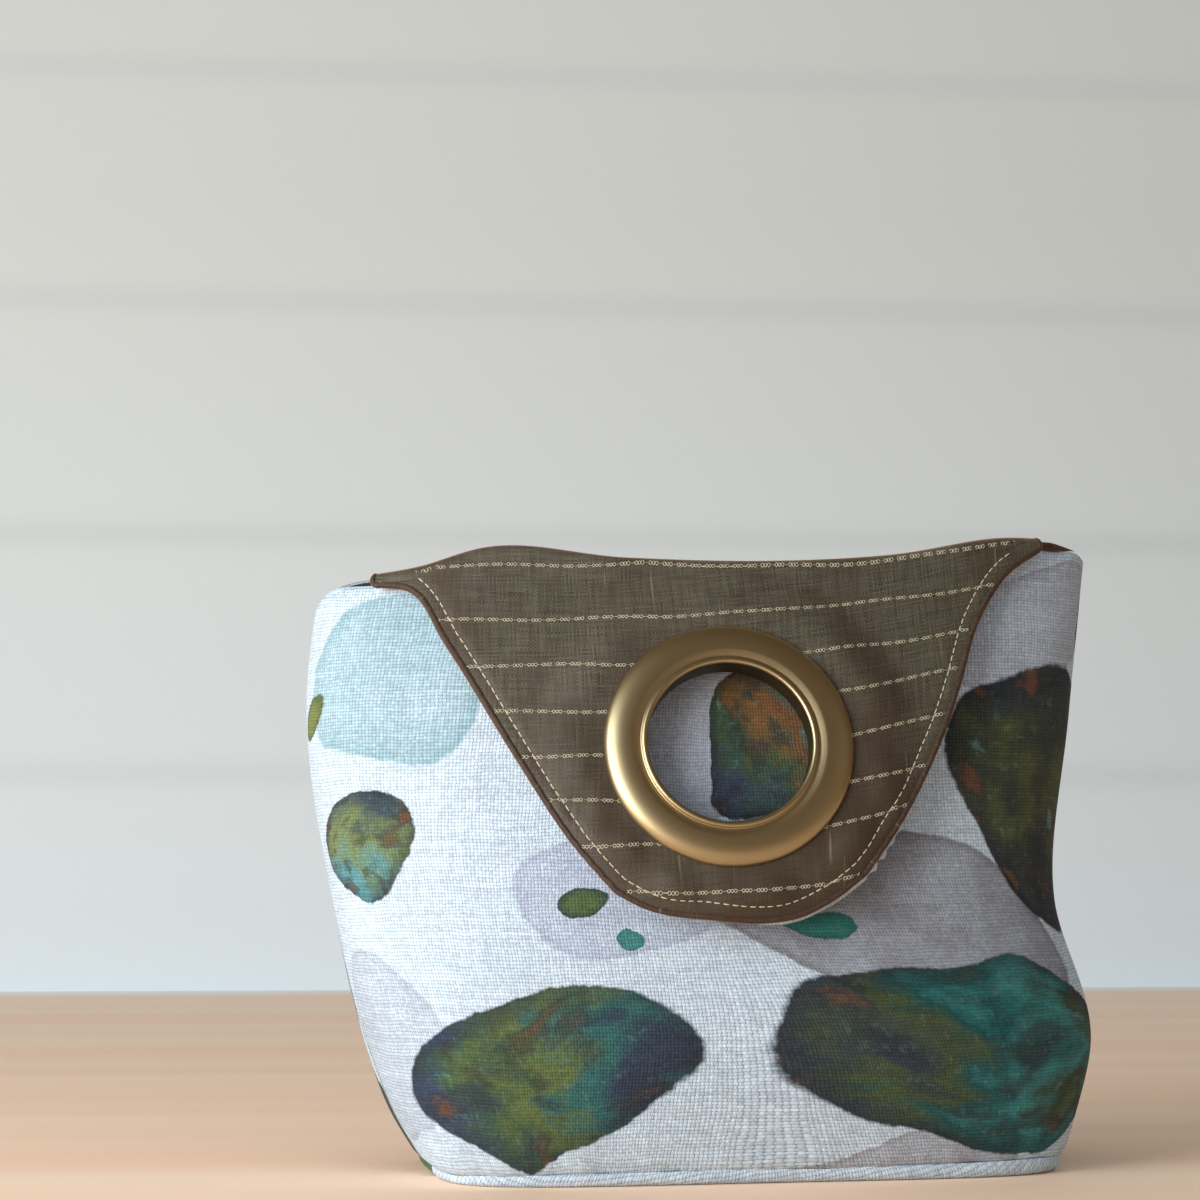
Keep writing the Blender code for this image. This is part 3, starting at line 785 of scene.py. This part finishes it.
def runAcross(grid):   # length across the cloth at mid height, from the panel's middle
    middle = grid[:, grid.shape[1] // 2]
    across = np.concatenate(([0.0], np.cumsum(np.linalg.norm(np.diff(middle, axis=0), axis=1))))
    return across - np.interp(0, middle[:, 0], across)


def rowRise(x):   # the lining's threads rise with the stripe rows
    return 0.0013 * np.maximum(x / mm + 45, 0) ** 2 * mm


def frontPanel(name, material, depth, thickness, alongRows=False):   # one sheet, base seam to flap's end
    rows, hookRows = wallGrid.shape[1], hook.shape[1]
    wallCount = wallGrid.shape[0] * rows
    faces = []
    for column in range(wallGrid.shape[0] - 1):
        for row in range(rows - 1):
            a = column * rows + row
            faces.append((a, a + rows, a + rows + 1, a + 1))
    for column in range(hook.shape[0] - 1):
        edge, a = (firstFlap + column) * rows + rows - 1, wallCount + column * hookRows
        faces.append((edge, edge + rows, a + hookRows, a))
        for row in range(hookRows - 1):
            faces.append((a + row, a + hookRows + row, a + hookRows + row + 1, a + row + 1))
    across = runAcross(wallGrid)
    wallUv = np.stack(np.broadcast_arrays(across[:, None], wallGrid[..., 2]), axis=-1).copy()
    joined = np.concatenate((wallGrid[firstFlap:lastFlap + 1, -1:], hook), axis=1)
    over = np.cumsum(np.linalg.norm(np.diff(joined, axis=1), axis=-1), axis=1) + joined[:, :1, 2]
    if alongRows:
        foldSteps = foldGrid.shape[1]
        straight = pouch["height"] * 2 + rowRise(hook[..., 0]) - hook[..., 2]
        shift = (straight - over)[:, foldSteps - 1]
        over[:, :foldSteps] += shift[:, None]
        over[:, foldSteps:] = straight[:, foldSteps:]
        wallUv[..., 1] += np.interp(wallGrid[:, -1, 0], hook[:, 0, 0], shift)[:, None]
    hookUv = np.stack((hook[..., 0], over), axis=-1)
    uv = np.concatenate((wallUv.reshape(-1, 2), hookUv.reshape(-1, 2)))
    points = np.concatenate((wallGrid.reshape(-1, 3), hook.reshape(-1, 3)))
    piece = meshPiece(name, points, faces, uv, material)
    layered(piece, depth, thickness)
    return piece


def ringPlace():
    middle = Vector((ring["x"], ringDepth, ring["z"]))
    return Matrix.Translation(middle) @ Matrix.Rotation(math.pi / 2 - ring["lean"], 4, "X")


def cutRingHole(piece):
    radius = ring["opening"] + ring["barrelWall"] + ring["fit"]
    bpy.ops.mesh.primitive_cylinder_add(vertices=96, radius=radius, depth=2 * ring["toWall"])
    cutter = bpy.context.active_object
    cutter.matrix_world = ringPlace()
    cut = piece.modifiers.new("ring hole", "BOOLEAN")
    cut.solver = "EXACT"
    cut.object = cutter
    applyModifiers(piece)
    bpy.data.objects.remove(cutter, do_unlink=True)


def backPanel(name, material, depth, thickness, uvShift):
    columns, rows = 110, 70
    share = np.linspace(0, 1, columns + 1)
    foot = rimHeight(backAngle(share)) + pouch["seamClearance"]
    top = topHeight("backEdge", share)
    height = foot[:, None] + (top - foot)[:, None] * np.linspace(0, 1, rows + 1)[None]
    grid = wallPoints(np.broadcast_to(backAngle(share)[:, None], height.shape), height)
    fade = ease(np.minimum(share, 1 - share) / 0.06)[:, None]
    push = wallWaves(-grid[..., 0], height) * fade * 0.8 + seamDip(grid[..., 0], height, foot[:, None])
    grid = grid - gridNormals(grid) * push[..., None]
    uv = np.stack(np.broadcast_arrays(runAcross(grid)[:, None], height), axis=-1).reshape(-1, 2)
    uv = uv + np.array(uvShift)
    stride = rows + 1
    faces = [(c * stride + r, c * stride + r + 1, (c + 1) * stride + r + 1, (c + 1) * stride + r)
             for c in range(columns) for r in range(rows)]
    piece = meshPiece(name, grid.reshape(-1, 3), faces, uv, material)
    layered(piece, depth, thickness)
    return piece, grid


def basePanel(name, material, depth, thickness, uvShift):
    around, rings = 220, 10
    angle = np.linspace(0, 2 * math.pi, around, endpoint=False)
    edge = wallPoints(angle, rimHeight(angle) - pouch["seamClearance"])
    floorHeight = pouch["canvas"] + pouch["layerGap"] / 2
    radius = rimHeight(angle) - pouch["seamClearance"] - floorHeight
    size = np.hypot(edge[:, 0], edge[:, 1])
    loops, flats = [], []
    for turn in np.linspace(math.pi / 2, 0, rings + 1):
        dip = 0.6 * mm * np.exp(-(math.cos(turn) * radius / (1.3 * mm)) ** 2)
        shrink = 1 - (radius * (1 - math.sin(turn)) + dip) / size
        height = floorHeight + radius * (1 - math.cos(turn))
        loops.append(np.stack((edge[:, 0] * shrink, edge[:, 1] * shrink, height), axis=-1))
        flats.append(edge[:, :2] * (1 - radius * (1 - turn) / size)[:, None])
    for share in (0.93, 0.82, 0.66, 0.46, 0.24, 0.06):
        loops.append(loops[rings] * np.array((share, share, 1)))
        flats.append(flats[rings] * share)
    points = np.concatenate(loops)
    faces = []
    for row in range(len(loops) - 1):
        for k in range(around):
            a, b = row * around + k, row * around + (k + 1) % around
            faces.append((a, a + around, b + around, b))
    start = (len(loops) - 1) * around
    faces.append(tuple(start + k for k in reversed(range(around))))
    piece = meshPiece(name, points, faces, np.concatenate(flats) + np.array(uvShift), material)
    layered(piece, depth, thickness)
    x, y = edge[:, 0], edge[:, 1]
    area = abs(float(np.dot(x, np.roll(y, -1)) - np.dot(y, np.roll(x, -1)))) / 2
    return piece, area


# the shifts put other parts of the print on the back and the base
backCanvas, backGrid = backPanel("back_canvas", canvasMaterial, outside, pouch["canvas"], (0.36, 0.02))
backLining, _ = backPanel("back_lining", taffetaMaterial, inside, pouch["lining"], (0, 0))
baseCanvas, baseArea = basePanel("base_canvas", canvasMaterial, outside, pouch["canvas"], (0.03, 0.20))
baseLining, _ = basePanel("base_lining", taffetaMaterial, inside, pouch["lining"], (0, 0))
frontCanvas = frontPanel("front_canvas", canvasMaterial, outside, pouch["canvas"])
frontLining = frontPanel("front_lining", taffetaMaterial, inside, pouch["lining"], alongRows=True)
cutRingHole(frontCanvas)
cutRingHole(frontLining)
print("cloth panels made")

# turned edges: folded rims of the flap and the pouch's mouth, and the canvas that shows past the flap

hem = {
    "reach": 0.85 * mm,
    "half": 0.95 * mm,
    "steps": 10,
    "taper": 12,   # points over which each end slims
}
tail = {
    "from": -3,   # in columns past the flap's right end
    "columns": 18,
    "thick": 2.6 * mm,
    "thin": 0.5 * mm,
    "lift": 1.1 * mm,
}
peep = {
    "points": slice(160, 234),   # of the flap's outline, its lower right
    "past": 1.5 * mm,
}


def smoothed(path, rounds=2):
    for _ in range(rounds):
        path[1:-1] = (path[:-2] + 2 * path[1:-1] + path[2:]) / 4
    return path


def turnedEdge(name, path, normals, material,   # shift is along the normals, push out past the edge
               reach=hem["reach"], half=hem["half"], shift=0.0, push=0.0):
    tangent = unit(np.gradient(path, axis=0))
    side = unit(np.cross(tangent, normals))
    path = path + side * push + normals * shift
    ends = np.minimum(np.arange(len(path)), np.arange(len(path))[::-1]) / hem["taper"]
    slim = np.clip(ends, 0.04, 1) ** 0.7
    points, faces, uv = strand(path, side, normals, reach * slim, half * slim, hem["steps"])
    piece = meshPiece(name, points, faces, uv, material)
    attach(piece, "root")
    return piece


def flapOutline():   # up over the fold on the left, round the flap and back up to the fold on the right
    left = np.concatenate((wallGrid[firstFlap, -3:], hook[0]))
    right = np.concatenate((wallGrid[lastFlap, -3:], hook[-1]))
    path = np.concatenate((left, hook[1:-1, -1], right[::-1]))
    grid = np.concatenate((wallGrid[firstFlap:lastFlap + 1, -3:], hook), axis=1)
    normal = gridNormals(grid)
    normals = np.concatenate((normal[0], normal[1:-1, -1], normal[-1, ::-1]))
    return path, normals


edgePath, edgeNormals = flapOutline()
turnedEdge("flap_edge", smoothed(edgePath), edgeNormals, shadedEdgeTaffeta, shift=-0.2 * mm)
wallNormals = gridNormals(wallGrid)
rims = (
    ("front_rim_left", wallGrid[:firstFlap + 2, -1], wallNormals[:firstFlap + 2, -1]),
    ("front_rim_right", wallGrid[lastFlap - 1:, -1], wallNormals[lastFlap - 1:, -1]),
    ("back_rim", backGrid[:, -1], -gridNormals(backGrid)[:, -1]),
)
for name, path, normals in rims:
    turnedEdge(name, path.copy(), normals, hemMaterial, shift=0.25 * mm)
    turnedEdge(name + "_lining", path.copy(), normals, taffetaMaterial,
               reach=0.55 * mm, half=0.35 * mm, shift=-0.75 * mm)
tailColumns = slice(lastFlap + tail["from"], lastFlap + tail["from"] + tail["columns"])
slimming = np.linspace(tail["thick"], tail["thin"], tail["columns"])
turnedEdge("flap_tail", wallGrid[tailColumns, -1] + np.array((0, 0, tail["lift"])),
           wallNormals[tailColumns, -1], shadedEdgeTaffeta,
           reach=slimming, half=slimming * 0.5, shift=0.9 * mm)
turnedEdge("flap_canvas_edge", edgePath[peep["points"]], edgeNormals[peep["points"]], hemMaterial,
           reach=0.8 * mm, half=0.35 * mm, shift=0.9 * mm, push=-peep["past"])
print("turned edges made")

# topstitching about 3 mm inside the flap's edge

stitching = {
    "inset": 3.15 * mm,
    "pitch": 2.0 * mm,
    "length": 1.62 * mm,
    "radius": 0.16 * mm,
    "points": 7,
    "steps": 7,
}


def insetLine(path, inset):
    tangent = unit(np.gradient(path, axis=0))
    inner = path + np.stack((-tangent[:, 1], tangent[:, 0]), axis=-1) * inset
    keep = (edgeDistance(inner[:, 0], inner[:, 1]) > inset * 0.97) & insideOutline(inner[:, 0], inner[:, 1])
    return smoothed(inner[keep], 6)


def stitchRow():
    line = insetLine(outline, stitching["inset"])
    run = np.concatenate(([0.0], np.cumsum(np.linalg.norm(np.diff(line, axis=0), axis=1))))
    points, faces, uvs, first = [], [], [], 0
    for k in range(int(run[-1] / stitching["pitch"])):
        wander = 0.06 * mm * math.sin(2.1 * k)
        share = np.linspace(0, 1, stitching["points"])
        at = k * stitching["pitch"] + share * stitching["length"]
        x = np.interp(at, run, line[:, 0]) + wander
        z = np.interp(at, run, line[:, 1])
        arch = np.sin(math.pi * share) ** 0.5
        path, normal = onFlap(x, z, (0.24 * arch - 0.16) * mm)
        side = unit(np.cross(unit(np.gradient(path, axis=0)), normal))
        added = strand(path, side, normal, stitching["radius"], stitching["radius"] * 0.9,
                       stitching["steps"], first)
        points.append(added[0])
        faces += added[1]
        uvs.append(added[2])
        first += len(added[0])
    return meshPiece("topstitching", np.concatenate(points), faces, np.concatenate(uvs), threadMaterial)


stitches = stitchRow()
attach(stitches, "root")

# rows of woven cream loops: two strands that swell apart into three small loops, then dip under the cloth

stripes = {
    "heights": (143.9, 130.3, 119.1, 108.1, 97.8, 87.6, 77.5, 67.1),   # mm at the left
    "levels": (-45, -45, -45, -45, -30, -20, -20, -5),   # mm, where each row starts to rise
    "bends": (0.0008, 0.0009, 0.0010, 0.00126, 0.0019, 0.0025, 0.0033, 0.0059),   # per mm
    "group": 3.36 * mm,
    "shown": 0.68,
    "swell": 0.36 * mm,
    "radius": 0.095 * mm,
    "step": 0.15 * mm,
    "margin": 0.9 * mm,   # to the flap's outline
    "topMargin": 4.2 * mm,   # the same for the row on the fold
}


def stripeHeight(row, x):   # the rows rise to the right, the lower ones more
    rise = stripes["bends"][row] * np.maximum(x / mm - stripes["levels"][row], 0) ** 2
    return np.minimum((stripes["heights"][row] + rise) * mm, foldHeight(x) + 0.9 * mm)


def stripeRow(row):
    x = np.arange(-90 * mm, 80 * mm, stripes["step"])
    z = stripeHeight(row, x)
    toRing = np.hypot(x - ring["x"], (z - ring["z"]) / math.cos(ring["lean"]))
    margin = stripes["margin"] if row else stripes["topMargin"]
    inOutline = insideOutline(x, np.minimum(z, foldHeight(x) - 0.2 * mm)) & (edgeDistance(x, z) > margin)
    seen = inOutline & (toRing > ring["outer"] - 1.5 * mm) & (z < foldHeight(x) + 1.7 * mm)
    wiggle = 0.22 * mm * np.sin(x / mm / 5.3 + row * 2.0)
    runs = np.split(np.arange(len(x)), np.flatnonzero(np.diff(seen.astype(int))) + 1)
    points, faces, uvs, first = [], [], [], 0
    for run in runs:
        if not seen[run[0]] or len(run) < 12:
            continue
        phase = (x[run] / stripes["group"] + 0.37 * row) % 1.0
        shown = phase < stripes["shown"]
        inner = phase / stripes["shown"]
        swell = np.where(shown, np.sin(3 * math.pi * inner), 0.15) * stripes["swell"]
        lift = np.where(shown, 0.10 + 0.05 * np.cos(6 * math.pi * inner), -0.10) * mm
        for hand in (-1, 1):
            path, normal = onFlap(x[run], z[run] + wiggle[run] + hand * swell, lift + hand * 0.04 * mm)
            side = unit(np.cross(unit(np.gradient(path, axis=0)), normal))
            added = strand(path, side, normal, stripes["radius"], stripes["radius"], 4, first)
            points.append(added[0])
            faces += added[1]
            uvs.append(added[2])
            first += len(added[0])
    return points, faces, uvs


for row in range(len(stripes["heights"])):
    points, faces, uvs = stripeRow(row)
    piece = meshPiece("stripe_loops_%d" % row, np.concatenate(points), faces, np.concatenate(uvs),
                      threadMaterial)
    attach(piece, "root")
print("stitches and stripe loops made")

# plated steel grommet: stamped, then satin plated in an aged brass colour

metal = {
    "base": "#bbab85",
    "dark": "#94825b",
    # the barrel's colour is painted shade: the plate darkened for the ring's inside
    "barrel": "#55503f",
    "steps": 144,
}


def makeMetal():   # brushed, lacquered plate: broad soft highlights, a faint grain and darker patches
    material, tree, shader = newMaterial("satin antique brass plate", Metallic=1.0,
                                         Coat_Weight=0.25, Coat_Roughness=0.3)
    coords = addNode(tree, "TexCoord", output="Object")
    grain = addNode(tree, "TexNoise", {"Vector": coords, "Scale": 5200.0})
    cloud = addNode(tree, "TexNoise", {"Vector": coords, "Scale": 60.0, "Detail": 3.0})
    share = addNode(tree, "Math", cloud, 0.3, operation="MULTIPLY")
    tone = addNode(tree, "Mix", {0: share, 6: hexColour(metal["base"]), 7: hexColour(metal["dark"])},
                   **asColour)
    tree.links.new(tone, shader.inputs["Base Color"])
    tree.links.new(addNode(tree, "MapRange", grain, 0.3, 0.7, 0.33, 0.40), shader.inputs["Roughness"])
    bump = addNode(tree, "Bump", {"Height": grain, "Distance": 0.01 * mm, "Strength": 0.35})
    tree.links.new(bump, shader.inputs["Normal"])
    return material


metalMaterial = makeMetal()
# the same plate, rougher and darkened as painted shade inside the barrel, so that it stays dark and quiet
# inside the bright ring
barrelShadeMaterial, _, _ = newMaterial("plate inside the barrel, darkened as painted shade", Base_Color=hexColour(metal["barrel"]),
                                   Metallic=1.0, Roughness=0.5)


def turned(name, profile):
    count = len(profile)
    mesh = bpy.data.meshes.new(name)
    mesh.from_pydata([(r, 0.0, h) for r, h in profile], [(k, (k + 1) % count) for k in range(count)], [])
    made = bpy.data.objects.new(name, mesh)
    bpy.context.scene.collection.objects.link(made)
    screw = made.modifiers.new("turn", "SCREW")
    screw.steps = screw.render_steps = metal["steps"]
    screw.use_merge_vertices = True
    screw.merge_threshold = 0.00001
    screw.use_smooth_shade = True
    applyModifiers(made)
    made.data.materials.append(metalMaterial)
    made.data.materials.append(barrelShadeMaterial)
    for face in made.data.polygons:   # the barrel's inner wall, which takes the plate darkened as painted shade
        x, y, height = face.center
        if math.hypot(x, y) < ring["opening"] + 0.2 * mm and height < 2.6 * mm:
            face.material_index = 1
    made.data.transform(ringPlace())
    return made


def arcPoints(centre, across, up, start, end, count):
    turns = np.radians(np.linspace(start, end, count + 1))
    return [(centre[0] + across * math.cos(t), centre[1] + up * math.sin(t)) for t in turns]


flapFront = pouch["layerGap"] / 2 + pouch["lining"] + 0.1 * mm
flapBack = -(pouch["layerGap"] / 2 + pouch["canvas"] + ring["fit"])
barrel = ring["opening"] + ring["barrelWall"]
barrelEnd = flapBack - ring["backHeight"]
lip = 0.8 * mm
crown = ring["opening"] + 0.40 * (ring["outer"] - ring["opening"])
ringTop = flapFront + ring["frontHeight"]
profile = [(ring["outer"], flapFront + 0.25 * mm), (ring["outer"] - 0.3 * mm, flapFront)]
profile += [(barrel, flapFront), (barrel, barrelEnd), (ring["opening"], barrelEnd)]
profile += arcPoints((ring["opening"] + lip, ringTop - lip), lip, lip, 180, 15, 12)
profile += arcPoints((ring["opening"] + 2.35 * lip, ringTop - 0.9 * lip), 0.55 * lip, 0.35 * lip,
                     200, 300, 4)
profile += arcPoints((crown, flapFront), ring["outer"] - crown, ring["frontHeight"] - 0.35 * mm, 97, 6, 22)
frontRing = turned("grommet_front", profile)
backInner = barrel + ring["fit"]
backProfile = [(ring["outer"] - 0.5 * mm, flapBack), (ring["outer"], flapBack - 0.5 * mm)]
backProfile += arcPoints((backInner + 1.2 * mm, flapBack - 0.3 * mm), ring["outer"] - backInner - 1.2 * mm,
                         ring["backHeight"] - 0.3 * mm, -8, -90, 12)
backProfile += [(backInner, barrelEnd + 0.4 * mm), (backInner, flapBack)]
backRing = turned("grommet_back", backProfile)
print("grommet made")

# what each main piece stands for in the frame

dressed = {
    "outer_front_panel": frontCanvas,
    "lining_front_panel": frontLining,
    "outer_back_panel": backCanvas,
    "lining_back_panel": backLining,
    "outer_base_panel": baseCanvas,
    "lining_base_panel": baseLining,
    "grommet_front_ring": frontRing,
    "grommet_back_ring": backRing,
}
for node, piece in dressed.items():
    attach(piece, "root")
    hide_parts(node)

bpy.context.scene.view_settings.view_transform = "Standard"
